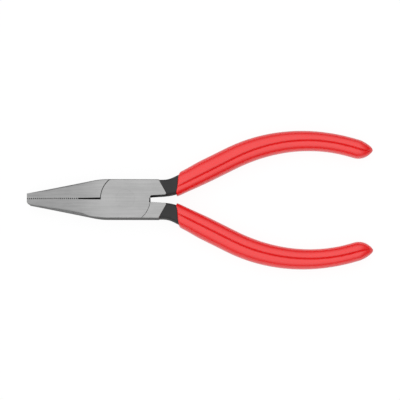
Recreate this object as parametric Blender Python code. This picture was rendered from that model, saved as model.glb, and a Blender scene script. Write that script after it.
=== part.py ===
"""Flat nose pliers: two forged levers in a lap joint, a rivet through them and a soft sleeve on each handle.

Metres, +Z up. The pivot axis is the Z axis and the back face of the head lies in Z = 0.
The closed jaws point along -X and the handles run out along +X.
"""

import math

import bmesh
import bpy
from mathutils import Vector

MM = 0.001

# Head and lap joint
HEAD_WIDTH = 14.1 * MM
HEAD_THICKNESS = 8.0 * MM
LAP_SHOULDER = 1.9 * MM  # how far the lap circle reaches past the head's straight edges
LAP_CLEARANCE = 0.1 * MM  # between the two laps, and around the rim of each
EDGE_ROUND = 0.4 * MM  # rounding of the ground outer edges

# Jaws
JAW_REACH = 35.5 * MM  # pivot axis to the tips
JAW_TIP_HEIGHT = 1.85 * MM  # of one jaw
JAW_TIP_THICKNESS = 5.8 * MM
JAW_ROOT = 8.95 * MM  # pivot axis to where a jaw's slope would meet the head's straight edge
JAW_ROOT_RADIUS = 28.0 * MM
TIP_CUT_LENGTH = 1.1 * MM  # cut corner at the tip of the front lever's jaw
TIP_CUT_HEIGHT = 0.6 * MM
BITE_LENGTH = 18.5 * MM  # toothed stretch, from the tip
TOOTH_PITCH = 0.74 * MM
TOOTH_DEPTH = 0.3 * MM
BITE_CLEARANCE = 0.1 * MM  # between facing tooth crests
THROAT_GAP = 0.46 * MM  # slit between the jaws behind the teeth

# Rivet, countersunk into both faces and ground flush
RIVET_RADIUS = 2.5 * MM
RIVET_HEAD_RADIUS = 3.3 * MM
RIVET_HEAD_DEPTH = 1.2 * MM
RIVET_CLEARANCE = 0.05 * MM

# Shank: where the ground head ends and the narrower handle bar comes out of it
SHANK_GAP = 2.36 * MM  # between the two ground heads, right behind the lap
COLLAR_GAP = 3.1 * MM  # the same at the far end of the ground faces
COLLAR_OUTER = 3.1 * MM  # ground face past the lap circle, along the outer edge
COLLAR_INNER = 6.05 * MM  # the same along the inner edge
COLLAR_ROUND = 0.5 * MM
COLLAR_STEP = 0.15 * MM  # from the ground face down to the bar's face, at the outer edge
GAP_FILLET = 0.6 * MM  # between the lap's rim and the shank's inner edge
ROOT_STEP = 0.03 * MM  # from the head's outer edge in to the bar's
WAIST = 5.5 * MM  # along the handle, from the lap circle to where the bar starts to widen
WAIST_INNER = 2.8 * MM  # from the bar's centreline to its inner side up to there
SHANK_OVERHANG = 0.25 * MM  # of the bar's straight root past the ground face's inner corner
SHANK_WIDTH = 5.9 * MM  # of the bar at the sleeve's mouth
SHANK_THICKNESS = 6.7 * MM
BAR_ROOT = 3.0 * MM  # how deep the bar starts inside the lap circle

# Handle bars: straight neck, bend outwards, straight flare, long bow back inwards, straight tail
NECK_LENGTH = 4.35 * MM  # from the lap circle to the neck's bend
NECK_RADIUS = 12.0 * MM
FLARE_ANGLE = math.radians(26.5)
FLARE_LENGTH = 22.0 * MM
BOW_RADIUS = 60.0 * MM
TOE_ANGLE = math.radians(16.0)  # of the tail, inwards
TAIL_LENGTH = 2.2 * MM
BAR_END_WIDTH = 4.5 * MM
BAR_END_THICKNESS = 5.0 * MM

# Sleeves
SHANK_LENGTH = 10.05 * MM  # along the handle, from the lap circle to the sleeve's mouth
MOUTH_SLANT = math.radians(31.0)  # of the sleeve's mouth, its outer side further back
MOUTH_BOW = 0.5 * MM  # of the mouth's two sides, back from its middle
BOW_POWER = 6  # how close to the sides the bow keeps
MOUTH_WALL = 0.7 * MM
MOUTH_ROUND = 0.5 * MM
SIDE_WALL = 1.0 * MM
FACE_WALL = 1.3 * MM
WALL_RAMP = 12.0 * MM  # along the handle, from the mouth to the full wall and crease
END_WALL = 8.5 * MM  # closed end behind the bar
SLEEVE_CLEARANCE = 0.15 * MM  # between a bar and its sleeve
CAP_LENGTH = 5.75 * MM
CAP_SHIFT = 1.0 * MM  # of the rounded end's tip, outwards
CREASE_DEPTH = 0.7 * MM
CREASE_WIDTH = 0.5 * MM
FRONT_CREASE = (-0.95 * MM, -0.1 * MM)  # of the front face, outwards from the centreline: first and last
FRONT_CROSSING = (24.0 * MM, 70.0 * MM)  # along the handle, where it goes from the first to the last
BACK_CREASE = (-0.1 * MM, 0.42 * MM)
BACK_CROSSING = (48.0 * MM, 92.0 * MM)

# Sections: 2 is an ellipse, and a higher value is squarer
BAR_SQUARENESS = 6.0
SLEEVE_SQUARENESS = 2.5
CREASE_CROWDING = 1.4  # draws a section's points towards its crease
CAP_SHAPE = (1.8, 0.62)  # powers of the rounded end's outline

# Facets
LAP_SIDES = 96
RIVET_SIDES = 48
SECTION_SIDES = 24
NECK_STATIONS = 14
BAR_STATIONS = 24
SLEEVE_STATIONS = 27
CAP_STATIONS = 7
FILLET_STEPS = 6
ROUND_STEPS = 3
CUT_MARGIN = 2.0 * MM  # how far a cutter reaches past the faces that it cuts

# Worked out from the sizes above
HALF_WIDTH = HEAD_WIDTH / 2
MID_HEIGHT = HEAD_THICKNESS / 2
LAP_RADIUS = HALF_WIDTH + LAP_SHOULDER
GAP_SLOPE = math.atan2(COLLAR_GAP - SHANK_GAP, 2 * COLLAR_INNER)
BAR_OFFSET = COLLAR_GAP / 2 - SHANK_OVERHANG + WAIST_INNER
ROOT_THICKNESS = HEAD_THICKNESS - 2 * COLLAR_STEP
BOW_TURN = FLARE_ANGLE + TOE_ANGLE
HANDLE_PATH = (  # length of each stretch and the angle that it turns through
    (BAR_ROOT + NECK_LENGTH, 0.0),
    (NECK_RADIUS * FLARE_ANGLE, FLARE_ANGLE),
    (FLARE_LENGTH, 0.0),
    (BOW_RADIUS * BOW_TURN, -BOW_TURN),
    (TAIL_LENGTH + CAP_LENGTH, 0.0),
)
BOW_START = sum(run for run, turn in HANDLE_PATH[:3])
HANDLE_LENGTH = sum(run for run, turn in HANDLE_PATH)
CAP_START = HANDLE_LENGTH - CAP_LENGTH
MOUTH = BAR_ROOT + SHANK_LENGTH
BAR_LENGTH = HANDLE_LENGTH - END_WALL - SLEEVE_CLEARANCE


def clear_scene():
    for obj in list(bpy.data.objects):
        bpy.data.objects.remove(obj)


def finish(name, colour, roughness, metallic):
    """A material with one colour, roughness and metallic value."""
    material = bpy.data.materials.new(name)
    material.use_nodes = True
    shader = material.node_tree.nodes["Principled BSDF"]
    shader.inputs["Base Color"].default_value = (*colour, 1.0)
    shader.inputs["Roughness"].default_value = roughness
    shader.inputs["Metallic"].default_value = metallic
    return material


def add_object(name, bm, material=None):
    """Turns a bmesh into an object of the scene. One with no material is a helper that isn't rendered."""
    bmesh.ops.recalc_face_normals(bm, faces=bm.faces)
    mesh = bpy.data.meshes.new(name)
    bm.to_mesh(mesh)
    bm.free()
    obj = bpy.data.objects.new(name, mesh)
    bpy.context.scene.collection.objects.link(obj)
    if material:
        mesh.materials.append(material)
        mesh.shade_smooth()
        mesh.set_sharp_from_angle(angle=math.radians(35))
    else:
        obj.hide_render = True
        obj.display_type = "WIRE"
    return obj


def boolean(obj, operation, other):
    modifier = obj.modifiers.new(other.name, "BOOLEAN")
    modifier.operation = operation
    modifier.object = other
    modifier.solver = "EXACT"


def loft(rings):
    """A closed body over rings of equal length. Returns it with its loops of vertices."""
    bm = bmesh.new()
    loops = [[bm.verts.new(point) for point in ring] for ring in rings]
    for lower, upper in zip(loops, loops[1:]):
        for i in range(len(lower)):
            bm.faces.new((lower[i - 1], lower[i], upper[i], upper[i - 1]))
    bm.faces.new(reversed(loops[0]))
    bm.faces.new(loops[-1])
    return bm, loops


def turned(profile, sides):
    """A body of rotation about the pivot axis from (radius, height) pairs."""
    return loft([[(r * x, r * y, z) for x, y in circle(sides)] for r, z in profile])[0]


def arc(centre, radius, start, end, steps):
    """Points on an arc, both ends included."""
    angles = [start + (end - start) * i / steps for i in range(steps + 1)]
    return [centre + radius * Vector((math.cos(a), math.sin(a))) for a in angles]


def fillet(before, corner, after, radius):
    """Points of the arc that rounds a corner between two straight sides."""
    toward = (before - corner).normalized()
    away = (after - corner).normalized()
    half = toward.angle(away) / 2
    centre = corner + (toward + away).normalized() * (radius / math.sin(half))
    first = corner + toward * (radius / math.tan(half)) - centre
    last = corner + away * (radius / math.tan(half)) - centre
    start = math.atan2(first.y, first.x)
    turn = math.remainder(math.atan2(last.y, last.x) - start, 2 * math.pi)
    return arc(centre, radius, start, start + turn, FILLET_STEPS)


def lap_arc(start, end):
    """Points on the rim of the lap between two angles."""
    steps = math.ceil(abs(end - start) * LAP_SIDES / (2 * math.pi))
    return arc(Vector((0, 0)), LAP_RADIUS, start, end, steps)


def bite_edge():
    """The jaw's inner edge from the tip: the teeth and the slit behind them, up to the lap's rim."""
    count = round(BITE_LENGTH / TOOTH_PITCH)
    pitch = BITE_LENGTH / count
    crest = -BITE_CLEARANCE / 2
    points = []
    for tooth in range(count):
        x = tooth * pitch - JAW_REACH
        points.append(Vector((x, crest)))
        points.append(Vector((x + pitch / 2, crest - TOOTH_DEPTH)))
    points.append(Vector((BITE_LENGTH - JAW_REACH, crest)))
    points.append(Vector((BITE_LENGTH - JAW_REACH, -THROAT_GAP / 2)))
    return points


def collar_edge():
    """The head's upper edge, the slanted end of the ground face and its rounded corner."""
    top = Vector((LAP_RADIUS + COLLAR_OUTER, HALF_WIDTH))
    corner = Vector((LAP_RADIUS + COLLAR_INNER, COLLAR_GAP / 2))
    return [top] + fillet(top, corner, Vector((LAP_RADIUS, SHANK_GAP / 2)), COLLAR_ROUND)


def gap_edge():
    """The fillet between the shank's inner edge and the lap's rim, then the rim down to the head's edge."""
    along = Vector((math.cos(GAP_SLOPE), math.sin(GAP_SLOPE)))
    start = Vector((LAP_RADIUS, SHANK_GAP / 2)) - GAP_FILLET * Vector((-along.y, along.x))
    reach = LAP_RADIUS + GAP_FILLET
    ahead = start.dot(along)
    centre = start + along * (math.sqrt(ahead**2 - start.length_squared + reach**2) - ahead)
    rim = math.atan2(centre.y, centre.x)
    corner = arc(centre, GAP_FILLET, GAP_SLOPE + math.pi / 2, math.pi + rim, FILLET_STEPS)
    return corner + lap_arc(rim, -math.asin(HALF_WIDTH / LAP_RADIUS))[1:]


def jaw_edge(cut_tip):
    """The jaw's outer edge from the head to the tip."""
    tip = Vector((-JAW_REACH, -JAW_TIP_HEIGHT))
    root = Vector((-JAW_ROOT, -HALF_WIDTH))
    points = fillet(Vector((0, -HALF_WIDTH)), root, tip, JAW_ROOT_RADIUS)
    if not cut_tip:
        return points + [tip]
    slope = (root - tip).normalized()
    return points + [tip + slope * TIP_CUT_LENGTH, tip + Vector((0, TIP_CUT_HEIGHT))]


def lever_outline(cut_tip):
    """Outline of a lever's ground head as (point, whether the side that starts there is rounded over)."""
    corner = math.asin(HALF_WIDTH / LAP_RADIUS)
    slit = math.asin(THROAT_GAP / 2 / LAP_RADIUS)
    upper_rim = lap_arc(math.pi + slit, math.pi - corner)
    inner = bite_edge() + upper_rim[:-1]
    outer = upper_rim[-1:] + collar_edge()
    gap = gap_edge()
    jaw = gap[-1:] + jaw_edge(cut_tip)
    stretches = ((inner, False), (outer, True), (gap[:-1], False), (jaw, True))
    return [(point, rounded) for points, rounded in stretches for point in points]


def taper_jaw(bm):
    """Thins the jaw evenly on both faces from its root to its tip."""
    everything = bm.verts[:] + bm.edges[:] + bm.faces[:]
    bmesh.ops.bisect_plane(bm, geom=everything, plane_co=(-JAW_ROOT, 0, 0), plane_no=(1, 0, 0))
    thinning = 1 - JAW_TIP_THICKNESS / HEAD_THICKNESS
    for vert in bm.verts:
        along = max(0.0, (-vert.co.x - JAW_ROOT) / (JAW_REACH - JAW_ROOT))
        vert.co.z = MID_HEIGHT + (vert.co.z - MID_HEIGHT) * (1 - thinning * along)


def ground_head(cut_tip):
    """Jaw, lap disc and collar as one plate of the head's full thickness."""
    outline = lever_outline(cut_tip)
    rings = [[(p.x, p.y, z) for p, rounded in outline] for z in (0.0, HEAD_THICKNESS)]
    bm, loops = loft(rings)
    edges = []
    for loop in loops:
        for i, (point, rounded) in enumerate(outline[:-1]):
            if rounded:
                edges.append(bm.edges.get((loop[i], loop[i + 1])))
    bmesh.ops.bevel(bm, geom=edges, offset=EDGE_ROUND, segments=2, profile=0.5, affect="EDGES")
    taper_jaw(bm)
    return bm


def handle_at(length):
    """Point and heading of the front handle's centreline at this length from its root."""
    point = Vector((LAP_RADIUS - BAR_ROOT, BAR_OFFSET))
    heading = 0.0
    for i, (run, turn) in enumerate(HANDLE_PATH):
        last = i == len(HANDLE_PATH) - 1
        step = length if last else min(length, run)
        angle = turn * step / run
        chord = step * (math.sin(angle / 2) / (angle / 2) if angle else 1.0)
        direction = heading + angle / 2
        point = point + chord * Vector((math.cos(direction), math.sin(direction)))
        heading += angle
        length -= step
        if length <= 0:
            break
    return point, heading


def handle_ring(length, section, slant=0.0, bow=0.0):
    """Places a section of (across, up) pairs. A slant pushes its outer side along, and a bow both sides."""
    half_width = section[0][0]
    ring = []
    for across, up in section:
        point, heading = handle_at(length + slant * across + bow * (across / half_width) ** BOW_POWER)
        side = Vector((-math.sin(heading), math.cos(heading)))
        point = point + across * side
        ring.append((point.x, point.y, MID_HEIGHT + up))
    return ring


def smooth(value):
    """Eases from 0 to 1 as the value goes from 0 to 1."""
    value = min(max(value, 0.0), 1.0)
    return value * value * (3 - 2 * value)


def mix(first, second, share):
    return first + (second - first) * share


def circle(count):
    """Points of a circle of radius 1, anticlockwise from its outer side."""
    angles = [2 * math.pi * i / count for i in range(count)]
    return [(math.cos(angle), math.sin(angle)) for angle in angles]


def bar_size(length):
    """The handle bar's reach from its centreline to its inner side, its outer side and its faces."""
    past = length - BAR_ROOT
    thinning = smooth((past - COLLAR_OUTER) / (SHANK_LENGTH - COLLAR_OUTER))
    shank = mix(ROOT_THICKNESS, SHANK_THICKNESS, thinning)
    thickness = mix(shank, BAR_END_THICKNESS, max(length - MOUTH, 0.0) / (BAR_LENGTH - MOUTH))
    tapering = smooth((length - BOW_START) / (BAR_LENGTH - BOW_START))
    full = mix(SHANK_WIDTH, BAR_END_WIDTH, tapering) / 2
    spread = smooth((past - WAIST) / (SHANK_LENGTH - WAIST))
    inner = mix(WAIST_INNER, full, spread)
    outer = mix(HALF_WIDTH - ROOT_STEP - BAR_OFFSET, full, spread)
    return inner, outer, thickness / 2


def bar_section(length, clearance=0.0):
    """Section of the handle bar, a squarish oval, anticlockwise from its outer side."""
    inner, outer, half_height = bar_size(min(length, BAR_LENGTH))
    section = []
    for x, y in circle(SECTION_SIDES):
        across = math.copysign(abs(x) ** (2 / BAR_SQUARENESS), x)
        up = math.copysign(abs(y) ** (2 / BAR_SQUARENESS), y)
        reach = outer if x > 0 else inner
        section.append((across * (reach + clearance), up * (half_height + clearance)))
    return section


def crease_at(length, offsets, crossing):
    """How far outwards from the centreline a crease runs at this length."""
    start, end = crossing
    return mix(*offsets, smooth((length - start) / (end - start)))


def sleeve_section(length, scale=1.0, shift=0.0):
    """Outside of the sleeve: a soft section with a crease along its front and back faces."""
    ramp = smooth((length - MOUTH) / WALL_RAMP)
    inner, half_width, half_height = bar_size(min(length, BAR_LENGTH))
    half_width += SLEEVE_CLEARANCE + mix(MOUTH_WALL, SIDE_WALL, ramp)
    half_height += SLEEVE_CLEARANCE + mix(MOUTH_WALL, FACE_WALL, ramp)
    front = crease_at(length, FRONT_CREASE, FRONT_CROSSING)
    back = crease_at(length, BACK_CREASE, BACK_CROSSING)
    section = []
    for x, y in circle(SECTION_SIDES):
        crease = front if y > 0 else back
        side = math.copysign(abs(x) ** CREASE_CROWDING, x)
        across = side * half_width + crease * (1 - side**2)
        up = half_height * (1 - abs(across / half_width) ** SLEEVE_SQUARENESS) ** (1 / SLEEVE_SQUARENESS)
        up -= ramp * CREASE_DEPTH * math.exp(-abs(across - crease) / CREASE_WIDTH) * (1 - side**2)
        section.append((across * scale + shift, math.copysign(up, y) * scale))
    return section


def mouth_section(share):
    """Section through the wall at the sleeve's mouth: a share of 0 is its bore and 1 its outside."""
    section = []
    for bore, outside in zip(bar_section(MOUTH, SLEEVE_CLEARANCE), sleeve_section(MOUTH)):
        section.append((mix(bore[0], outside[0], share), mix(bore[1], outside[1], share)))
    return section


def stations(start, end, count):
    return [mix(start, end, i / (count - 1)) for i in range(count)]


def sleeve_ring(length, section):
    """Places a section of the sleeve, whose mouth has a slant and a bow that fade along it."""
    fade = 1 - smooth((length - MOUTH) / WALL_RAMP)
    return handle_ring(length, section, math.tan(MOUTH_SLANT) * fade, MOUTH_BOW * fade)


def sleeve_rings():
    """Rings from the closed end of the bore, round the mouth and along the outside to the rounded end."""
    rings = []
    for length in reversed(stations(MOUTH, BAR_LENGTH + SLEEVE_CLEARANCE, BAR_STATIONS)):
        rings.append(sleeve_ring(length, bar_section(length, SLEEVE_CLEARANCE)))
    rolled = min(MOUTH_ROUND, MOUTH_WALL / 3)
    for i in range(ROUND_STEPS):
        angle = math.pi / 2 * i / ROUND_STEPS
        section = mouth_section(1 - rolled * (1 - math.sin(angle)) / MOUTH_WALL)
        rings.append(sleeve_ring(MOUTH + rolled * (1 - math.cos(angle)), section))
    for length in stations(MOUTH + rolled, CAP_START, SLEEVE_STATIONS):
        rings.append(sleeve_ring(length, sleeve_section(length)))
    fullness, bluntness = CAP_SHAPE
    for i in range(1, CAP_STATIONS):
        along = math.sin(math.pi / 2 * i / CAP_STATIONS)
        scale = (1 - along**fullness) ** bluntness
        length = CAP_START + CAP_LENGTH * along
        rings.append(sleeve_ring(length, sleeve_section(length, scale, shift=CAP_SHIFT * along**3)))
    return rings


def lap_cutter(name):
    """The room that the other lever's lap turns in, behind this one's."""
    top = MID_HEIGHT + LAP_CLEARANCE / 2
    radius = LAP_RADIUS + LAP_CLEARANCE
    return add_object(name, turned(((radius, -CUT_MARGIN), (radius, top)), LAP_SIDES))


def rivet_profile(clearance=0.0, overrun=0.0):
    """Countersunk at both faces. A cutter runs past them."""
    head = RIVET_HEAD_RADIUS + clearance
    shaft = RIVET_RADIUS + clearance
    lower = [(head, 0.0), (shaft, RIVET_HEAD_DEPTH)]
    upper = [(shaft, HEAD_THICKNESS - RIVET_HEAD_DEPTH), (head, HEAD_THICKNESS)]
    if overrun:
        return [(head, -overrun)] + lower + upper + [(head, HEAD_THICKNESS + overrun)]
    return lower + upper


def make_lever(name, cut_tip):
    """One lever: a ground head with its lap cut out, joined to its handle bar."""
    lever = add_object(name, ground_head(cut_tip), finish(name, (0.42, 0.42, 0.41), 0.35, 1.0))
    lengths = stations(0.0, MOUTH, NECK_STATIONS) + stations(MOUTH, BAR_LENGTH, BAR_STATIONS)[1:]
    rings = [handle_ring(length, bar_section(length)) for length in lengths]
    bar = add_object(name + "_bar", loft(rings)[0])
    hole = add_object(name + "_hole", turned(rivet_profile(RIVET_CLEARANCE, CUT_MARGIN), RIVET_SIDES))
    lap = lap_cutter(name + "_lap")
    boolean(lever, "UNION", bar)
    boolean(lever, "DIFFERENCE", lap)
    boolean(lever, "DIFFERENCE", hole)
    for helper in (bar, hole, lap):
        helper.parent = lever
    return lever


def make_sleeve(name, lever):
    sleeve = add_object(name, loft(sleeve_rings())[0], finish(name, (0.86, 0.07, 0.075), 0.38, 0.0))
    sleeve.parent = lever
    return sleeve


def make_rivet(name):
    steel = finish(name, (0.45, 0.45, 0.44), 0.3, 1.0)
    return add_object(name, turned(rivet_profile(), RIVET_SIDES), steel)


def main():
    clear_scene()
    front = make_lever("front_lever", cut_tip=True)
    make_sleeve("front_grip", front)
    back = make_lever("back_lever", cut_tip=False)
    make_sleeve("back_grip", back)
    back.location = (0, 0, HEAD_THICKNESS)
    back.rotation_euler = (math.pi, 0, 0)
    make_rivet("pivot_rivet")


main()
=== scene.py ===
"""Looks of the flat nose pliers: ground and blackened levers, a flush rivet and creased red sleeves.

Metres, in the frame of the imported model: the pivot is the Z axis, the closed jaws point along -X.
"""

import math

import bmesh
import bpy
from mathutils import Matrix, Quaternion, Vector


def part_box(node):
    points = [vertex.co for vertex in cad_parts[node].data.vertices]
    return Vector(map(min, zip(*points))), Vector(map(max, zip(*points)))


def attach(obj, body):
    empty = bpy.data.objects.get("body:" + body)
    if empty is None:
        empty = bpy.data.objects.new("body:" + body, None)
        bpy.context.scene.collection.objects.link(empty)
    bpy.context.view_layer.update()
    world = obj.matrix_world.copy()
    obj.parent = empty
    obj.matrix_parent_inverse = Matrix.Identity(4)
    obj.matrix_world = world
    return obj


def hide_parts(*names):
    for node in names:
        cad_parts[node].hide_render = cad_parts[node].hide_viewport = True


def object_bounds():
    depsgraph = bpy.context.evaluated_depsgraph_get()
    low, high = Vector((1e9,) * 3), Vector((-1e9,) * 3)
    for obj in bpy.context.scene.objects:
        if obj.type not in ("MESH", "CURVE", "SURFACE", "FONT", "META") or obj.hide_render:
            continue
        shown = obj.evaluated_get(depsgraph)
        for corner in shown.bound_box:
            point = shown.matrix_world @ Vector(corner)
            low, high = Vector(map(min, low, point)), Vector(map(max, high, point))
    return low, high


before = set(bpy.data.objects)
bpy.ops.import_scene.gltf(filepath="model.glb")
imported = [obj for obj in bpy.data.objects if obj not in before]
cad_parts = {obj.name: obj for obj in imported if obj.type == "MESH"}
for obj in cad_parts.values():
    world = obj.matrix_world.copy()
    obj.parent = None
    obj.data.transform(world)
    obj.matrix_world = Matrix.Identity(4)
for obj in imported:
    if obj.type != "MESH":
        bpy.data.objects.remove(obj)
CAD_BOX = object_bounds()
MM = 0.001

# Sizes read from the frame
LEVER_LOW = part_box("front_lever")[0]
RIVET_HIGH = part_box("pivot_rivet")[1]
JAW_REACH = -LEVER_LOW.x
HALF_WIDTH = -LEVER_LOW.y
HEAD_THICKNESS = RIVET_HIGH.z
MID_HEIGHT = HEAD_THICKNESS / 2
RIVET_HEAD_RADIUS = RIVET_HIGH.x

# Lap joint and rivet
LAP_RADIUS = 8.95 * MM
LAP_CLEARANCE = 0.1 * MM
LAP_BREAK = 0.05 * MM  # chamfer around the room for the other lap
RIVET_RADIUS = 2.5 * MM
RIVET_HEAD_DEPTH = 1.2 * MM
RIVET_CLEARANCE = 0.008 * MM
RIVET_BREAK = 0.006 * MM

# Jaws
JAW_TIP_HEIGHT = 1.85 * MM
JAW_TIP_THICKNESS = 5.8 * MM
JAW_ROOT = 8.95 * MM
JAW_ROOT_RADIUS = 28.0 * MM
TAPER_EASE = 1.6 * MM  # half the length over which the flat head turns into the tapering jaw
JAW_SHADE = (-20.0 * MM, -7.0 * MM)  # along X, where the steel goes from the jaws' shade to the head's
TIP_CUT_LENGTH = 1.1 * MM
TIP_CUT_HEIGHT = 0.6 * MM
BITE_LENGTH = 18.5 * MM
TOOTH_COUNT = 25
TOOTH_DEPTH = 0.28 * MM
TOOTH_FLAT = 0.4  # share of the pitch that is flat on a crest
BITE_CLEARANCE = 0.01 * MM
THROAT_GAP = 0.46 * MM

# Edge breaks
HEAD_EDGE = 0.42 * MM
TIP_EDGE = 0.12 * MM
BITE_EDGE = 0.01 * MM
UPPER_RIM_EDGE = 0.14 * MM
LOWER_RIM_EDGE = 0.02 * MM
GAP_RIM_EDGE = 0.3 * MM
COLLAR_EDGE = 0.12 * MM
GAP_EDGE = 0.03 * MM
FRONT_JAW_EDGE = (  # a facet that starts sharply: distance from the pivot, width there, share in depth
    (10.2 * MM, HEAD_EDGE, 1.0),
    (12.0 * MM, 0.06 * MM, 1.0),
    (13.0 * MM, 0.06 * MM, 1.0),
    (16.0 * MM, 1.15 * MM, 1.0),
    (24.0 * MM, 1.35 * MM, 0.65),
    (28.0 * MM, 1.2 * MM, 0.4),
    (32.0 * MM, TIP_EDGE, 1.0),
)
BACK_JAW_EDGE = (
    (9.0 * MM, HEAD_EDGE, 1.0),
    (18.0 * MM, 0.75 * MM, 1.0),
    (28.0 * MM, 0.75 * MM, 1.0),
    (34.0 * MM, TIP_EDGE, 1.0),
)

# Shank
SHANK_GAP = 2.36 * MM
COLLAR_GAP = 3.1 * MM
COLLAR_OUTER = 3.1 * MM
COLLAR_INNER = 6.05 * MM
COLLAR_ROUND = 0.5 * MM
COLLAR_STEP = 0.15 * MM
GAP_FILLET = 0.6 * MM
ROOT_STEP = 0.03 * MM
WAIST = 5.5 * MM
WAIST_INNER = 2.8 * MM
SHANK_OVERHANG = 0.25 * MM
SHANK_WIDTH = 5.9 * MM
SHANK_THICKNESS = 6.7 * MM
BAR_ROOT = 3.0 * MM

# Handle path and bar
NECK_LENGTH = 4.35 * MM
NECK_RADIUS = 12.0 * MM
FLARE_ANGLE = math.radians(26.5)
FLARE_LENGTH = 22.0 * MM
BOW_RADIUS = 60.0 * MM
TOE_ANGLE = math.radians(16.0)
TAIL_LENGTH = 1.95 * MM
BAR_END_WIDTH = 4.5 * MM
BAR_END_THICKNESS = 5.0 * MM
BAR_SQUARENESS = 6.0

# Sleeves
SHANK_LENGTH = 10.05 * MM
MOUTH_SLANT = math.radians(31.0)
MOUTH_BOW = 0.5 * MM
BOW_POWER = 6
MOUTH_WALL = 0.7 * MM
MOUTH_ROUND = 0.5 * MM
SIDE_WALL = 1.05 * MM
FACE_WALL = 1.3 * MM
WALL_RAMP = 12.0 * MM
END_WALL = 8.5 * MM
SLEEVE_CLEARANCE = 0.12 * MM
SLEEVE_SQUARENESS = 2.5
CAP_LENGTH = 5.75 * MM
CAP_SHIFT = 1.0 * MM
CAP_SHAPE = (1.8, 0.62)
CREASE_DEPTH = 0.68 * MM
CREASE_WIDTH = 0.42 * MM
CREASE_START = 0.7  # share of the crease's depth that is there right at the mouth
CREASE_FADE = 5.0 * MM
CREASE_CROWDING = 1.5
FRONT_CREASE = (-0.95 * MM, -0.1 * MM)  # outwards from the centreline: first and last
FRONT_CROSSING = (24.0 * MM, 70.0 * MM)  # along the handle, where it goes from the first to the last
BACK_CREASE = (-0.1 * MM, 0.42 * MM)
BACK_CROSSING = (48.0 * MM, 92.0 * MM)

# Facets
LAP_SIDES = 192
RIVET_SIDES = 96
EDGE_STEPS = 5
FILLET_STEPS = 10
JAW_STEPS = 60
BAR_POINTS = 48
BAR_STATIONS = 80
SLEEVE_POINTS = 88
SLEEVE_STATIONS = 120
CAP_STATIONS = 22
LIP_STEPS = 6
CUT_MARGIN = 2.0 * MM
TAPER_CUTS = 5
MITRE_LIMIT = 0.4  # smallest cosine that a corner's inset is divided by
STEEL_SHARP = 30  # degrees from which an edge is drawn crisp
VINYL_SHARP = 60

# Finishes, with noise in grains per metre along X, Y and Z, and bumps as strength and depth
NOISE_SPAN = (0.3, 0.7)  # where most of a noise's values lie

# Ground steel
STEEL_COLOURS = ((0.2025, 0.2035, 0.2047), (0.394, 0.394, 0.393))
STEEL_STREAKS = (55, 2300, 2300)
STEEL_SCRATCHES = (260, 9000, 9000)
STEEL_CLOUDS = (130, 190, 190)
STREAK_SHARE = 0.6  # of the streaks in the colour, against the clouds
STEEL_TONES = (0.25, 0.55)  # reach of that texture between the two colours
HEAD_TONE = 0.44  # added to it on the head
STEEL_ROUGHNESS = (0.3, 0.42)
EDGE_TINT = (0.42, 0.16)  # of glancing reflections, on the jaws and on the head
STEEL_BUMP = (0.12, 0.01 * MM)

# Black oxide, and painted shade in the shank gap
OXIDE_COLOURS = ((0.010, 0.010, 0.0106), (0.042, 0.042, 0.0432))
OXIDE_MOTTLE = (420, 420, 420)
OXIDE_PITS = (2600, 2600, 2600)
OXIDE_ROUGHNESS = (0.62, 0.75)
OXIDE_GLOSS = 0.42
OXIDE_BUMP = (0.25, 0.02 * MM)
# Painted shade for the shank gap: darker and duller than the oxide, standing in for the shade between
# the levers
GAP_SHADE_COLOURS = ((0.004, 0.004, 0.004), (0.012, 0.012, 0.0125))
GAP_SHADE_GRAIN = (700, 700, 700)
GAP_SHADE_ROUGHNESS = (0.85, 1.0)
GAP_SHADE_GLOSS = 0.05
GAP_SHADE_BUMP = (0.3, 0.03 * MM)

# Vinyl
VINYL_COLOURS = ((0.89, 0.009, 0.0095), (0.95, 0.014, 0.0145))
VINYL_CLOUDS = (120, 160, 160)
VINYL_SKIN = (1500, 2600, 2600)
VINYL_ROUGHNESS = 0.25
VINYL_GLOSS = 0.84
VINYL_BUMP = (0.03, 0.012 * MM)
CREASE_SHADE_SPREAD = 6  # points on either side of a crease over which its painted shade fades
CREASE_SHADE_LIGHT = 0.88  # share of the colour's value that is left in the crease's painted shade

# Camera and picture
FRAME_WIDTH = 144.5 * MM  # seen across the picture at the mid plane
LENS = 250.0
SENSOR = 36.0
ELEVATION = math.radians(84.0)
ROLL = math.radians(0.134)
AIM = Vector((26.88 * MM, -0.065 * MM, MID_HEIGHT))

# Light
SKY_DUSK = (0.0, 0.85)  # heights between which the sky goes from dim to full light
SKY_LIGHT = (0.06, 1.32)
SKY_SHADE = (0.42, 0.85)  # reach along +X over which it dims again, beyond the handle ends
SHADE_LIGHT = 0.3
FLOOR_HALF = 3.0
FLOOR_ALBEDO = 0.88
FLOOR_LIGHT = 1.03
FLOOR_GLOW = 0.9  # share of the floor's colour in the picture that takes no shadow
FLOOR_MIRRORED = 0.5  # the same where the floor is seen in gloss
FLOOR_BOUNCE = 0.7  # the same for the light that it throws back

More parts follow.
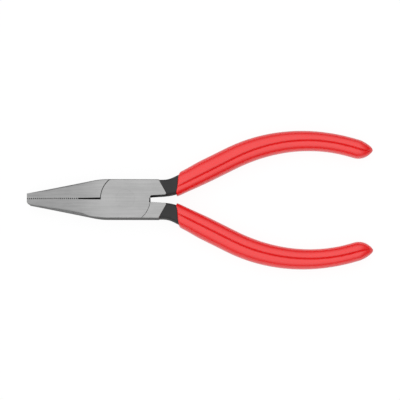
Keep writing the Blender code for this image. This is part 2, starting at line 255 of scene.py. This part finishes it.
# Worked out from the sizes above
GAP_SLOPE = math.atan2(COLLAR_GAP - SHANK_GAP, 2 * COLLAR_INNER)
BAR_OFFSET = COLLAR_GAP / 2 - SHANK_OVERHANG + WAIST_INNER
ROOT_THICKNESS = HEAD_THICKNESS - 2 * COLLAR_STEP
BOW_TURN = FLARE_ANGLE + TOE_ANGLE
HANDLE_PATH = (
    (BAR_ROOT + NECK_LENGTH, 0.0),
    (NECK_RADIUS * FLARE_ANGLE, FLARE_ANGLE),
    (FLARE_LENGTH, 0.0),
    (BOW_RADIUS * BOW_TURN, -BOW_TURN),
    (TAIL_LENGTH + CAP_LENGTH, 0.0),
)
BOW_START = sum(run for run, turn in HANDLE_PATH[:3])
HANDLE_LENGTH = sum(run for run, turn in HANDLE_PATH)
CAP_START = HANDLE_LENGTH - CAP_LENGTH
MOUTH = BAR_ROOT + SHANK_LENGTH
BAR_LENGTH = HANDLE_LENGTH - END_WALL - SLEEVE_CLEARANCE
GROUND, BLACK, GAP_SHADE = 0, 1, 2  # material slots of a lever; the third is painted shade for the walls in the shank gap
ALL_GROUND = (GROUND, GROUND)  # slots of a side's edges and of its wall
ALL_BLACK = (BLACK, BLACK)
ALL_GAP_SHADE = (GAP_SHADE, GAP_SHADE)
BLACK_WALL = (GROUND, BLACK)
GAP_SHADE_WALL = (GROUND, GAP_SHADE)


def mix(first, second, share):
    return first + (second - first) * share


def smooth(value):
    """Eases from 0 to 1 as the value goes from 0 to 1."""
    value = min(max(value, 0.0), 1.0)
    return value * value * (3 - 2 * value)


def stations(start, end, count):
    return [mix(start, end, i / (count - 1)) for i in range(count)]


def circle(count):
    angles = [2 * math.pi * i / count for i in range(count)]
    return [(math.cos(angle), math.sin(angle)) for angle in angles]


# Meshes


def loft(rings):
    """A closed body over rings of equal length."""
    bm = bmesh.new()
    loops = [[bm.verts.new(point) for point in ring] for ring in rings]
    for lower, upper in zip(loops, loops[1:]):
        for i in range(len(lower)):
            bm.faces.new((lower[i - 1], lower[i], upper[i], upper[i - 1]))
    bm.faces.new(reversed(loops[0]))
    bm.faces.new(loops[-1])
    return bm


def turned(profile, sides):
    """A body of rotation about the pivot from (radius, height) pairs."""
    return loft([[(r * x, r * y, z) for x, y in circle(sides)] for r, z in profile])


def add_object(name, bm, *materials):
    bmesh.ops.recalc_face_normals(bm, faces=bm.faces)
    mesh = bpy.data.meshes.new(name)
    bm.to_mesh(mesh)
    bm.free()
    for material in materials:
        mesh.materials.append(material)
    obj = bpy.data.objects.new(name, mesh)
    bpy.context.scene.collection.objects.link(obj)
    return obj


def boolean(obj, operation, other):
    modifier = obj.modifiers.new(other.name, "BOOLEAN")
    modifier.operation = operation
    modifier.object = other
    modifier.solver = "EXACT"


def settle(obj):
    """Applies the modifiers and removes the helpers that they used."""
    helpers = [modifier.object for modifier in obj.modifiers]
    graph = bpy.context.evaluated_depsgraph_get()
    mesh = bpy.data.meshes.new_from_object(obj.evaluated_get(graph))
    obj.modifiers.clear()
    obj.data = mesh
    for helper in helpers:
        bpy.data.objects.remove(helper)


def shade(obj, sharp_angle):
    """Smooth shading with crisp edges, and normals that keep flat faces flat."""
    obj.data.shade_smooth()
    obj.data.set_sharp_from_angle(angle=math.radians(sharp_angle))
    weighting = obj.modifiers.new("face_weight", "WEIGHTED_NORMAL")
    weighting.keep_sharp = True
    weighting.weight = 100


# Outline of a lever's ground head


def arc(centre, radius, start, end, steps):
    angles = stations(start, end, steps + 1)
    return [centre + radius * Vector((math.cos(a), math.sin(a))) for a in angles]


def fillet(before, corner, after, radius):
    """Points of the arc that rounds a corner between two straight sides."""
    toward = (before - corner).normalized()
    away = (after - corner).normalized()
    half = toward.angle(away) / 2
    centre = corner + (toward + away).normalized() * (radius / math.sin(half))
    first = corner + toward * (radius / math.tan(half)) - centre
    last = corner + away * (radius / math.tan(half)) - centre
    start = math.atan2(first.y, first.x)
    turn = math.remainder(math.atan2(last.y, last.x) - start, 2 * math.pi)
    return arc(centre, radius, start, start + turn, FILLET_STEPS)


def lap_arc(start, end):
    steps = math.ceil(abs(end - start) * LAP_SIDES / (2 * math.pi))
    return arc(Vector((0, 0)), LAP_RADIUS, start, end, steps)


def bite_edge():
    """Teeth from the tip inwards, then the slit behind them."""
    pitch = BITE_LENGTH / TOOTH_COUNT
    crest = -BITE_CLEARANCE / 2
    points = []
    for tooth in range(TOOTH_COUNT):
        x = tooth * pitch - JAW_REACH
        points.append(Vector((x, crest)))
        points.append(Vector((x + pitch * (1 - TOOTH_FLAT) / 2, crest - TOOTH_DEPTH)))
        points.append(Vector((x + pitch * (1 - TOOTH_FLAT), crest)))
    points.append(Vector((BITE_LENGTH - JAW_REACH, crest)))
    points.append(Vector((BITE_LENGTH - JAW_REACH, -THROAT_GAP / 2)))
    return points


def collar_edge():
    """The slanted end of the ground face and its rounded corner."""
    top = Vector((LAP_RADIUS + COLLAR_OUTER, HALF_WIDTH))
    corner = Vector((LAP_RADIUS + COLLAR_INNER, COLLAR_GAP / 2))
    return [top] + fillet(top, corner, Vector((LAP_RADIUS, SHANK_GAP / 2)), COLLAR_ROUND)


def gap_edge():
    """The fillet from the shank's inner edge to the lap's rim, then the rim down to the lower edge."""
    along = Vector((math.cos(GAP_SLOPE), math.sin(GAP_SLOPE)))
    start = Vector((LAP_RADIUS, SHANK_GAP / 2)) - GAP_FILLET * Vector((-along.y, along.x))
    reach = LAP_RADIUS + GAP_FILLET
    ahead = start.dot(along)
    centre = start + along * (math.sqrt(ahead**2 - start.length_squared + reach**2) - ahead)
    rim = math.atan2(centre.y, centre.x)
    corner = arc(centre, GAP_FILLET, GAP_SLOPE + math.pi / 2, math.pi + rim, FILLET_STEPS)
    return corner, lap_arc(rim, -math.asin(HALF_WIDTH / LAP_RADIUS))[1:]


def jaw_edge(cut_tip):
    """The jaw's outer edge from the head to the tip, in short steps."""
    tip = Vector((-JAW_REACH, -JAW_TIP_HEIGHT))
    root = Vector((-JAW_ROOT, -HALF_WIDTH))
    points = fillet(Vector((0, -HALF_WIDTH)), root, tip, JAW_ROOT_RADIUS)
    end = tip + (root - tip).normalized() * TIP_CUT_LENGTH if cut_tip else tip
    points += [points[-1].lerp(end, i / JAW_STEPS) for i in range(1, JAW_STEPS + 1)]
    if cut_tip:
        points.append(tip + Vector((0, TIP_CUT_HEIGHT)))
    return points


def jaw_break(x, places):
    """Width and depth of an outer edge's rounding at this place along the jaw."""
    for (start, first, first_share), (end, last, last_share) in zip(places, places[1:]):
        if -x < end:
            along = max(-x - start, 0.0) / (end - start)
            width = mix(first, last, along)
            return width, width * mix(first_share, last_share, along)
    return TIP_EDGE, TIP_EDGE


def lever_outline(cut_tip):
    """Corners of the ground head: point, front and back edge breaks, slots of the side after it."""
    corner = math.asin(HALF_WIDTH / LAP_RADIUS)
    slit = math.asin(THROAT_GAP / 2 / LAP_RADIUS)
    upper_rim = lap_arc(math.pi + slit, math.pi - corner)
    collar = collar_edge()
    gap_corner, lower_rim = gap_edge()
    jaw = jaw_edge(cut_tip)
    bite = bite_edge()
    outline = [(point, BITE_EDGE, ALL_GROUND) for point in bite[:-1]]
    # The slit's wall takes the black oxide, which also stands in for the shade down in the slit
    outline.append((bite[-1], BITE_EDGE, ALL_BLACK))
    outline += [(point, UPPER_RIM_EDGE, ALL_BLACK) for point in upper_rim[:-1]]
    outline.append((upper_rim[-1], HEAD_EDGE, ALL_GROUND))
    outline.append((collar[0], HEAD_EDGE, BLACK_WALL))
    outline += [(point, COLLAR_EDGE, BLACK_WALL) for point in collar[1:-1]]
    # The walls in the shank gap, and the lap's rim there, take the painted shade of the third slot
    outline.append((collar[-1], GAP_EDGE, GAP_SHADE_WALL))
    outline += [(point, GAP_EDGE, GAP_SHADE_WALL) for point in gap_corner]
    for point in lower_rim[:-1]:
        in_gap = point.y > -SHANK_GAP / 2
        rim = (GAP_RIM_EDGE, ALL_GAP_SHADE) if in_gap else (LOWER_RIM_EDGE, BLACK_WALL)
        outline.append((point, *rim))
    outline.append((lower_rim[-1], HEAD_EDGE, ALL_GROUND))
    outline = [(point, (width, width), (width, width), slots) for point, width, slots in outline]
    for point in jaw:
        front = jaw_break(point.x, FRONT_JAW_EDGE)
        back = jaw_break(point.x, BACK_JAW_EDGE)
        outline.append((point, front, back, ALL_GROUND))
    return outline


def inward(points):
    """Unit inset of each corner of an outline, mitred."""
    clockwise = sum(points[i - 1].cross(points[i]) for i in range(len(points))) < 0
    sign = -1 if clockwise else 1
    insets = []
    for i, point in enumerate(points):
        before = (point - points[i - 1]).normalized()
        after = (points[(i + 1) % len(points)] - point).normalized()
        side = (before + after).normalized()
        normal = Vector((-side.y, side.x))
        insets.append(sign * normal / max(normal.dot(Vector((-before.y, before.x))), MITRE_LIMIT))
    return insets


def jaw_scale(x):
    """Share of the head's thickness that is left at this place along the jaw."""
    thinning = (1 - JAW_TIP_THICKNESS / HEAD_THICKNESS) / (JAW_REACH - JAW_ROOT)
    past = -x - JAW_ROOT
    if past <= -TAPER_EASE:
        return 1.0
    if past >= TAPER_EASE:
        return 1.0 - thinning * past
    return 1.0 - thinning * (past + TAPER_EASE) ** 2 / (4 * TAPER_EASE)


def taper_jaw(bm):
    """Thins the jaw on both faces, with a soft start."""
    for past in stations(-TAPER_EASE, TAPER_EASE, TAPER_CUTS):
        everything = bm.verts[:] + bm.edges[:] + bm.faces[:]
        plane = (-JAW_ROOT - past, 0, 0)
        bmesh.ops.bisect_plane(bm, geom=everything, plane_co=plane, plane_no=(1, 0, 0))
    for vert in bm.verts:
        vert.co.z = MID_HEIGHT + (vert.co.z - MID_HEIGHT) * jaw_scale(vert.co.x)


def ground_head(cut_tip):
    """Jaw, lap disc and collar as one plate with rounded edges."""
    outline = lever_outline(cut_tip)
    insets = inward([point for point, front, back, slots in outline])
    lower, upper = [], []
    for step in range(EDGE_STEPS + 1):
        angle = math.pi / 2 * step / EDGE_STEPS
        low_ring, high_ring = [], []
        across, along = 1 - math.sin(angle), 1 - math.cos(angle)
        for (point, front, back, slots), inset in zip(outline, insets):
            high = point + inset * (front[0] * across)
            low = point + inset * (back[0] * across)
            high_ring.append((high.x, high.y, HEAD_THICKNESS - front[1] * along))
            low_ring.append((low.x, low.y, back[1] * along))
        lower.append(low_ring)
        upper.append(high_ring)
    bm = loft(lower + upper[::-1])
    paint_walls(bm, outline)
    taper_jaw(bm)
    return bm


def paint_walls(bm, outline):
    """Gives each side of the outline the finishes of its edges and of its wall."""
    count = len(outline)
    bm.verts.index_update()
    for face in bm.faces:
        if len(face.verts) > 4:
            continue
        places = {vert.index % count for vert in face.verts}
        start = max(places) if places == {0, count - 1} else min(places)
        edge, wall = outline[start][-1]
        ring = min(vert.index for vert in face.verts) // count
        face.material_index = wall if ring == EDGE_STEPS else edge


# Handles


def handle_at(length):
    """Point and heading of the front handle's centreline at this length from its root."""
    point = Vector((LAP_RADIUS - BAR_ROOT, BAR_OFFSET))
    heading = 0.0
    for i, (run, turn) in enumerate(HANDLE_PATH):
        last = i == len(HANDLE_PATH) - 1
        step = length if last else min(length, run)
        angle = turn * step / run
        chord = step * (math.sin(angle / 2) / (angle / 2) if angle else 1.0)
        direction = heading + angle / 2
        point = point + chord * Vector((math.cos(direction), math.sin(direction)))
        heading += angle
        length -= step
        if length <= 0:
            break
    return point, heading


def handle_ring(length, section, slant=0.0, bow=0.0):
    """Places a section of (across, up) pairs. A slant moves the outer side along, a bow both sides."""
    half_width = section[0][0]
    ring = []
    for across, up in section:
        point, heading = handle_at(length + slant * across + bow * (across / half_width) ** BOW_POWER)
        side = Vector((-math.sin(heading), math.cos(heading)))
        point = point + across * side
        ring.append((point.x, point.y, MID_HEIGHT + up))
    return ring


def bar_size(length):
    """The handle bar's reach from its centreline to its inner side, its outer side and its faces."""
    past = length - BAR_ROOT
    thinning = smooth((past - COLLAR_OUTER) / (SHANK_LENGTH - COLLAR_OUTER))
    shank = mix(ROOT_THICKNESS, SHANK_THICKNESS, thinning)
    thickness = mix(shank, BAR_END_THICKNESS, max(length - MOUTH, 0.0) / (BAR_LENGTH - MOUTH))
    tapering = smooth((length - BOW_START) / (BAR_LENGTH - BOW_START))
    full = mix(SHANK_WIDTH, BAR_END_WIDTH, tapering) / 2
    spread = smooth((past - WAIST) / (SHANK_LENGTH - WAIST))
    inner = mix(WAIST_INNER, full, spread)
    outer = mix(HALF_WIDTH - ROOT_STEP - BAR_OFFSET, full, spread)
    return inner, outer, thickness / 2


def bar_section(length):
    """Section of the handle bar, a squarish oval."""
    inner, outer, half_height = bar_size(length)
    section = []
    for x, y in circle(BAR_POINTS):
        across = math.copysign(abs(x) ** (2 / BAR_SQUARENESS), x)
        up = math.copysign(abs(y) ** (2 / BAR_SQUARENESS), y)
        section.append((across * (outer if x > 0 else inner), up * half_height))
    return section


def crease_at(length, offsets, crossing):
    """How far outwards from the centreline a crease runs at this length."""
    start, end = crossing
    return mix(*offsets, smooth((length - start) / (end - start)))


def sleeve_section(length, scale=1.0, shift=0.0):
    """Outside of the sleeve: a soft section with a crease along its front and back faces."""
    ramp = smooth((length - MOUTH) / WALL_RAMP)
    fade = mix(CREASE_START, 1.0, smooth((length - MOUTH) / CREASE_FADE))
    inner, half_width, half_height = bar_size(min(length, BAR_LENGTH))
    half_width += SLEEVE_CLEARANCE + mix(MOUTH_WALL, SIDE_WALL, ramp)
    half_height += SLEEVE_CLEARANCE + mix(MOUTH_WALL, FACE_WALL, ramp)
    front = crease_at(length, FRONT_CREASE, FRONT_CROSSING)
    back = crease_at(length, BACK_CREASE, BACK_CROSSING)
    section = []
    for x, y in circle(SLEEVE_POINTS):
        crease = front if y > 0 else back
        side = math.copysign(abs(x) ** CREASE_CROWDING, x)
        across = side * half_width + crease * (1 - side**2)
        reach = abs(across / half_width) ** SLEEVE_SQUARENESS
        up = half_height * max(1 - reach, 0.0) ** (1 / SLEEVE_SQUARENESS)
        up -= fade * CREASE_DEPTH * math.exp(-abs(across - crease) / CREASE_WIDTH) * (1 - side**2)
        section.append((across * scale + shift, math.copysign(up, y) * scale))
    return section


def wall_section(length, share):
    """Section in the sleeve's wall: a share of 0 is its bore, and 1 its outside straight out from it."""
    inner, half_width, half_height = bar_size(min(length, BAR_LENGTH))
    half_width += SLEEVE_CLEARANCE
    half_height += SLEEVE_CLEARANCE
    section = []
    for across, up in sleeve_section(length):
        reach = abs(across / half_width) ** BAR_SQUARENESS + abs(up / half_height) ** BAR_SQUARENESS
        scale = mix(reach ** (-1 / BAR_SQUARENESS), 1.0, share)
        section.append((across * scale, up * scale))
    return section


def sleeve_ring(length, section):
    """Places a section of the sleeve, whose mouth has a slant and a bow that fade along it."""
    fade = 1 - smooth((length - MOUTH) / WALL_RAMP)
    return handle_ring(length, section, math.tan(MOUTH_SLANT) * fade, MOUTH_BOW * fade)


def sleeve_rings():
    """Rings from the closed end of the bore, round the mouth and back outside to the rounded end."""
    rings = []
    for length in reversed(stations(MOUTH, BAR_LENGTH + SLEEVE_CLEARANCE, BAR_STATIONS)):
        rings.append(sleeve_ring(length, wall_section(length, 0.0)))
    for step in range(LIP_STEPS + 1):
        angle = math.pi / 2 * step / LIP_STEPS
        section = wall_section(MOUTH, 1 - MOUTH_ROUND * (1 - math.sin(angle)) / MOUTH_WALL)
        rings.append(sleeve_ring(MOUTH + MOUTH_ROUND * (1 - math.cos(angle)), section))
    for length in stations(MOUTH + MOUTH_ROUND, CAP_START, SLEEVE_STATIONS)[1:]:
        rings.append(sleeve_ring(length, sleeve_section(length)))
    fullness, bluntness = CAP_SHAPE
    for i in range(1, CAP_STATIONS):
        along = math.sin(math.pi / 2 * i / CAP_STATIONS)
        scale = (1 - along**fullness) ** bluntness
        length = CAP_START + CAP_LENGTH * along
        rings.append(sleeve_ring(length, sleeve_section(length, scale, shift=CAP_SHIFT * along**3)))
    return rings


# Pieces


def lap_cutter(name):
    """The room that the other lever's lap turns in, with a broken edge."""
    top = MID_HEIGHT + LAP_CLEARANCE / 2
    radius = LAP_RADIUS + LAP_CLEARANCE
    wide = radius + LAP_BREAK
    profile = ((wide, -CUT_MARGIN), (wide, 0.0), (radius, LAP_BREAK), (radius, top))
    return add_object(name, turned(profile, LAP_SIDES))


def rivet_profile(clearance=0.0, overrun=0.0):
    """Countersunk at both faces. A cutter runs past them."""
    head = RIVET_HEAD_RADIUS + clearance
    shaft = RIVET_RADIUS + clearance
    lower = [(head, 0.0), (shaft, RIVET_HEAD_DEPTH)]
    upper = [(shaft, HEAD_THICKNESS - RIVET_HEAD_DEPTH), (head, HEAD_THICKNESS)]
    if overrun:
        return [(head, -overrun)] + lower + upper + [(head, HEAD_THICKNESS + overrun)]
    edge = mix(head, shaft, RIVET_BREAK / RIVET_HEAD_DEPTH)
    rim = edge - RIVET_BREAK
    lower[0:1] = [(rim, 0.0), (edge, RIVET_BREAK)]
    upper[1:] = [(edge, HEAD_THICKNESS - RIVET_BREAK), (rim, HEAD_THICKNESS)]
    return lower + upper


def make_lever(name, materials, cut_tip):
    """One lever: a ground head with its lap cut out, joined to its blackened handle bar."""
    lever = add_object(name, ground_head(cut_tip), *materials)
    rings = []
    for length in stations(0.0, BAR_LENGTH, BAR_STATIONS):
        rings.append(handle_ring(length, bar_section(length)))
    bar_mesh = loft(rings)
    for face in bar_mesh.faces:
        face.material_index = BLACK
    bar = add_object(name + "_bar", bar_mesh, *materials)
    hole = add_object(name + "_hole", turned(rivet_profile(RIVET_CLEARANCE, CUT_MARGIN), RIVET_SIDES))
    boolean(lever, "UNION", bar)
    boolean(lever, "DIFFERENCE", lap_cutter(name + "_lap"))
    boolean(lever, "DIFFERENCE", hole)
    settle(lever)
    shade(lever, STEEL_SHARP)
    return lever


def mark_creases(sleeve):
    """Notes how close each point of the outside is to the crease in the middle of its face, for the
    painted shade along it.
    """
    outside = SLEEVE_POINTS * (BAR_STATIONS + LIP_STEPS + 1)
    marks = sleeve.data.attributes.new("crease", "FLOAT", "POINT").data
    for i in range(outside, len(marks)):
        away = abs(i % (SLEEVE_POINTS // 2) - SLEEVE_POINTS // 4)
        marks[i].value = 1 - smooth(away / CREASE_SHADE_SPREAD)


def make_sleeve(name, material):
    sleeve = add_object(name, loft(sleeve_rings()), material)
    mark_creases(sleeve)
    shade(sleeve, VINYL_SHARP)
    return sleeve


def make_rivet(name, material):
    rivet = add_object(name, turned(rivet_profile(), RIVET_SIDES), material)
    shade(rivet, STEEL_SHARP)
    return rivet


def turn_over(piece):
    """The back lever and its sleeve are the front ones turned about the long axis."""
    piece.location = (0, 0, HEAD_THICKNESS)
    piece.rotation_euler = (math.pi, 0, 0)


def dress(piece, body, node):
    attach(piece, body)
    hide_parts(node)


# Materials


def new_material(name):
    material = bpy.data.materials.new(name)
    material.use_nodes = True
    return material, material.node_tree, material.node_tree.nodes["Principled BSDF"]


def add_node(tree, kind, settings=(), **values):
    """A node with its properties set and its input sockets filled or linked."""
    node = tree.nodes.new(kind)
    for key, value in settings:
        setattr(node, key, value)
    for key, value in values.items():
        socket = node.inputs[key.replace("_", " ")]
        if isinstance(value, bpy.types.NodeSocket):
            tree.links.new(value, socket)
        else:
            socket.default_value = value
    return node


def object_place(tree):
    return add_node(tree, "ShaderNodeTexCoord").outputs["Object"]


def grain(tree, place, scale, detail=3.0):
    """Noise stretched by a scale in grains per metre along X, Y and Z."""
    stretched = add_node(tree, "ShaderNodeMapping", Vector=place, Scale=scale).outputs["Vector"]
    noise = add_node(tree, "ShaderNodeTexNoise", Vector=stretched, Scale=1.0, Detail=detail)
    return noise.outputs["Fac"]


def remap(tree, value, from_range, to_range):
    settings = (("interpolation_type", "SMOOTHSTEP"),)
    node = add_node(tree, "ShaderNodeMapRange", settings, Value=value)
    node.inputs["From Min"].default_value, node.inputs["From Max"].default_value = from_range
    node.inputs["To Min"].default_value, node.inputs["To Max"].default_value = to_range
    return node.outputs["Result"]


def combine(tree, operation, first, second):
    node = add_node(tree, "ShaderNodeMath", (("operation", operation),))
    for socket, value in zip(node.inputs, (first, second)):
        if isinstance(value, bpy.types.NodeSocket):
            tree.links.new(value, socket)
        else:
            socket.default_value = value
    return node.outputs["Value"]


def blend_colour(tree, share, first, second):
    ramp = tree.nodes.new("ShaderNodeValToRGB")
    ramp.color_ramp.elements[0].color = (*first, 1.0)
    ramp.color_ramp.elements[1].color = (*second, 1.0)
    tree.links.new(share, ramp.inputs["Fac"])
    return ramp.outputs["Color"]


def bumped(tree, shader, height, strength, distance):
    bump = add_node(tree, "ShaderNodeBump", Height=height, Strength=strength, Distance=distance)
    tree.links.new(bump.outputs["Normal"], shader.inputs["Normal"])


def ground_steel(name):
    """Steel ground along the tool, a little darker towards the tips."""
    material, tree, shader = new_material(name)
    place = object_place(tree)
    streaks = grain(tree, place, STEEL_STREAKS)
    scratches = grain(tree, place, STEEL_SCRATCHES, 2.0)
    clouds = grain(tree, place, STEEL_CLOUDS, 2.0)
    streaked = combine(tree, "MULTIPLY", streaks, STREAK_SHARE)
    clouded = combine(tree, "MULTIPLY", clouds, 1 - STREAK_SHARE)
    texture = combine(tree, "ADD", streaked, clouded)
    along = add_node(tree, "ShaderNodeSeparateXYZ", Vector=place).outputs["X"]
    light = remap(tree, along, JAW_SHADE, (0.0, HEAD_TONE))
    share = combine(tree, "ADD", remap(tree, texture, NOISE_SPAN, STEEL_TONES), light)
    tree.links.new(blend_colour(tree, share, *STEEL_COLOURS), shader.inputs["Base Color"])
    tree.links.new(remap(tree, scratches, NOISE_SPAN, STEEL_ROUGHNESS), shader.inputs["Roughness"])
    tree.links.new(remap(tree, along, JAW_SHADE, EDGE_TINT), shader.inputs["Specular Tint"])
    shader.inputs["Metallic"].default_value = 1.0
    bumped(tree, shader, combine(tree, "ADD", streaks, scratches), *STEEL_BUMP)
    return material


def black_oxide(name):
    """Forged skin with a satin black finish."""
    material, tree, shader = new_material(name)
    place = object_place(tree)
    mottle = grain(tree, place, OXIDE_MOTTLE, 4.0)
    pits = grain(tree, place, OXIDE_PITS, 2.0)
    tree.links.new(blend_colour(tree, mottle, *OXIDE_COLOURS), shader.inputs["Base Color"])
    tree.links.new(remap(tree, mottle, NOISE_SPAN, OXIDE_ROUGHNESS), shader.inputs["Roughness"])
    shader.inputs["Specular IOR Level"].default_value = OXIDE_GLOSS
    bumped(tree, shader, combine(tree, "ADD", mottle, pits), *OXIDE_BUMP)
    return material


def shaded_gap_black(name):
    """Painted shade: a darker, duller black on the walls in the shank gap, standing in for the shade
    there.
    """
    material, tree, shader = new_material(name)
    place = object_place(tree)
    gap_grain = grain(tree, place, GAP_SHADE_GRAIN, 4.0)
    tree.links.new(blend_colour(tree, gap_grain, *GAP_SHADE_COLOURS), shader.inputs["Base Color"])
    tree.links.new(remap(tree, gap_grain, NOISE_SPAN, GAP_SHADE_ROUGHNESS), shader.inputs["Roughness"])
    shader.inputs["Specular IOR Level"].default_value = GAP_SHADE_GLOSS
    bumped(tree, shader, gap_grain, *GAP_SHADE_BUMP)
    return material


def red_vinyl(name):
    """Soft semi-gloss vinyl with a slight skin texture, and painted shade that darkens its creases."""
    material, tree, shader = new_material(name)
    place = object_place(tree)
    clouds = grain(tree, place, VINYL_CLOUDS)
    skin = grain(tree, place, VINYL_SKIN, 2.0)
    colour = blend_colour(tree, clouds, *VINYL_COLOURS)
    # Painted shade: the colour's value is lowered along each crease, standing in for the shade in its
    # fold
    crease = add_node(tree, "ShaderNodeAttribute", (("attribute_name", "crease"),)).outputs["Fac"]
    value = remap(tree, crease, (0.0, 1.0), (1.0, CREASE_SHADE_LIGHT))
    crease_shaded = add_node(tree, "ShaderNodeHueSaturation", Value=value, Color=colour)
    tree.links.new(crease_shaded.outputs["Color"], shader.inputs["Base Color"])
    shader.inputs["Roughness"].default_value = VINYL_ROUGHNESS
    shader.inputs["Specular IOR Level"].default_value = VINYL_GLOSS
    bumped(tree, shader, skin, *VINYL_BUMP)
    return material


# Stage


def glow_share(tree):
    """Share of the floor that glows, by what looks at it. The rest takes light and shadow."""
    path = add_node(tree, "ShaderNodeLightPath").outputs
    shares = (
        ("Is Camera Ray", FLOOR_GLOW),
        ("Is Transmission Ray", FLOOR_GLOW),
        ("Is Glossy Ray", FLOOR_MIRRORED),
        ("Is Diffuse Ray", FLOOR_BOUNCE),
    )
    total = 0.0
    for ray, share in shares:
        total = combine(tree, "MAXIMUM", total, combine(tree, "MULTIPLY", path[ray], share))
    return total


def make_floor():
    bm = bmesh.new()
    bmesh.ops.create_grid(bm, x_segments=1, y_segments=1, size=FLOOR_HALF)
    material, tree, shader = new_material("white_floor")
    tree.nodes.remove(shader)
    white = (FLOOR_ALBEDO, FLOOR_ALBEDO, FLOOR_ALBEDO, 1.0)
    matt = add_node(tree, "ShaderNodeBsdfDiffuse", Color=white)
    glow = add_node(tree, "ShaderNodeEmission", Color=(1.0, 1.0, 1.0, 1.0), Strength=FLOOR_LIGHT)
    blend = tree.nodes.new("ShaderNodeMixShader")
    tree.links.new(glow_share(tree), blend.inputs[0])
    tree.links.new(matt.outputs[0], blend.inputs[1])
    tree.links.new(glow.outputs[0], blend.inputs[2])
    tree.links.new(blend.outputs[0], tree.nodes["Material Output"].inputs["Surface"])
    floor = add_object("floor", bm, material)
    floor.location = (AIM.x, 0, CAD_BOX[0].z)


def make_sky():
    """Soft light from overhead that dims towards the horizon and beyond the handle ends."""
    world = bpy.data.worlds.new("studio")
    world.use_nodes = True
    tree = world.node_tree
    direction = add_node(tree, "ShaderNodeTexCoord").outputs["Generated"]
    place = add_node(tree, "ShaderNodeSeparateXYZ", Vector=direction).outputs
    level = remap(tree, place["Z"], SKY_DUSK, SKY_LIGHT)
    dimming = remap(tree, place["X"], SKY_SHADE, (1.0, SHADE_LIGHT))
    background = tree.nodes["Background"]
    background.inputs["Color"].default_value = (1.0, 1.0, 1.0, 1.0)
    tree.links.new(combine(tree, "MULTIPLY", level, dimming), background.inputs["Strength"])
    bpy.context.scene.world = world


def make_camera():
    data = bpy.data.cameras.new("camera")
    data.lens = LENS
    data.sensor_width = SENSOR
    camera = bpy.data.objects.new("camera", data)
    bpy.context.scene.collection.objects.link(camera)
    back = Vector((0, -math.cos(ELEVATION), math.sin(ELEVATION)))
    camera.location = AIM + back * (FRAME_WIDTH * LENS / SENSOR)
    camera.rotation_mode = "QUATERNION"
    camera.rotation_quaternion = (-back).to_track_quat("-Z", "Y") @ Quaternion((0, 0, 1), ROLL)
    bpy.context.scene.camera = camera


def main():
    bpy.context.scene.view_settings.view_transform = "Standard"
    steel = (ground_steel("ground_steel"), black_oxide("black_oxide"), shaded_gap_black("shaded_gap_black"))
    vinyl = red_vinyl("red_vinyl")
    front = make_lever("front_lever_steel", steel, cut_tip=True)
    back = make_lever("back_lever_steel", steel, cut_tip=False)
    front_sleeve = make_sleeve("front_sleeve", vinyl)
    back_sleeve = make_sleeve("back_sleeve", vinyl)
    rivet = make_rivet("flush_rivet", ground_steel("rivet_steel"))
    turn_over(back)
    turn_over(back_sleeve)
    dress(front, "front_half", "front_lever")
    dress(back, "back_half", "back_lever")
    dress(front_sleeve, "front_half", "front_grip")
    dress(back_sleeve, "back_half", "back_grip")
    dress(rivet, "back_half", "pivot_rivet")
    make_floor()
    make_sky()
    make_camera()


main()
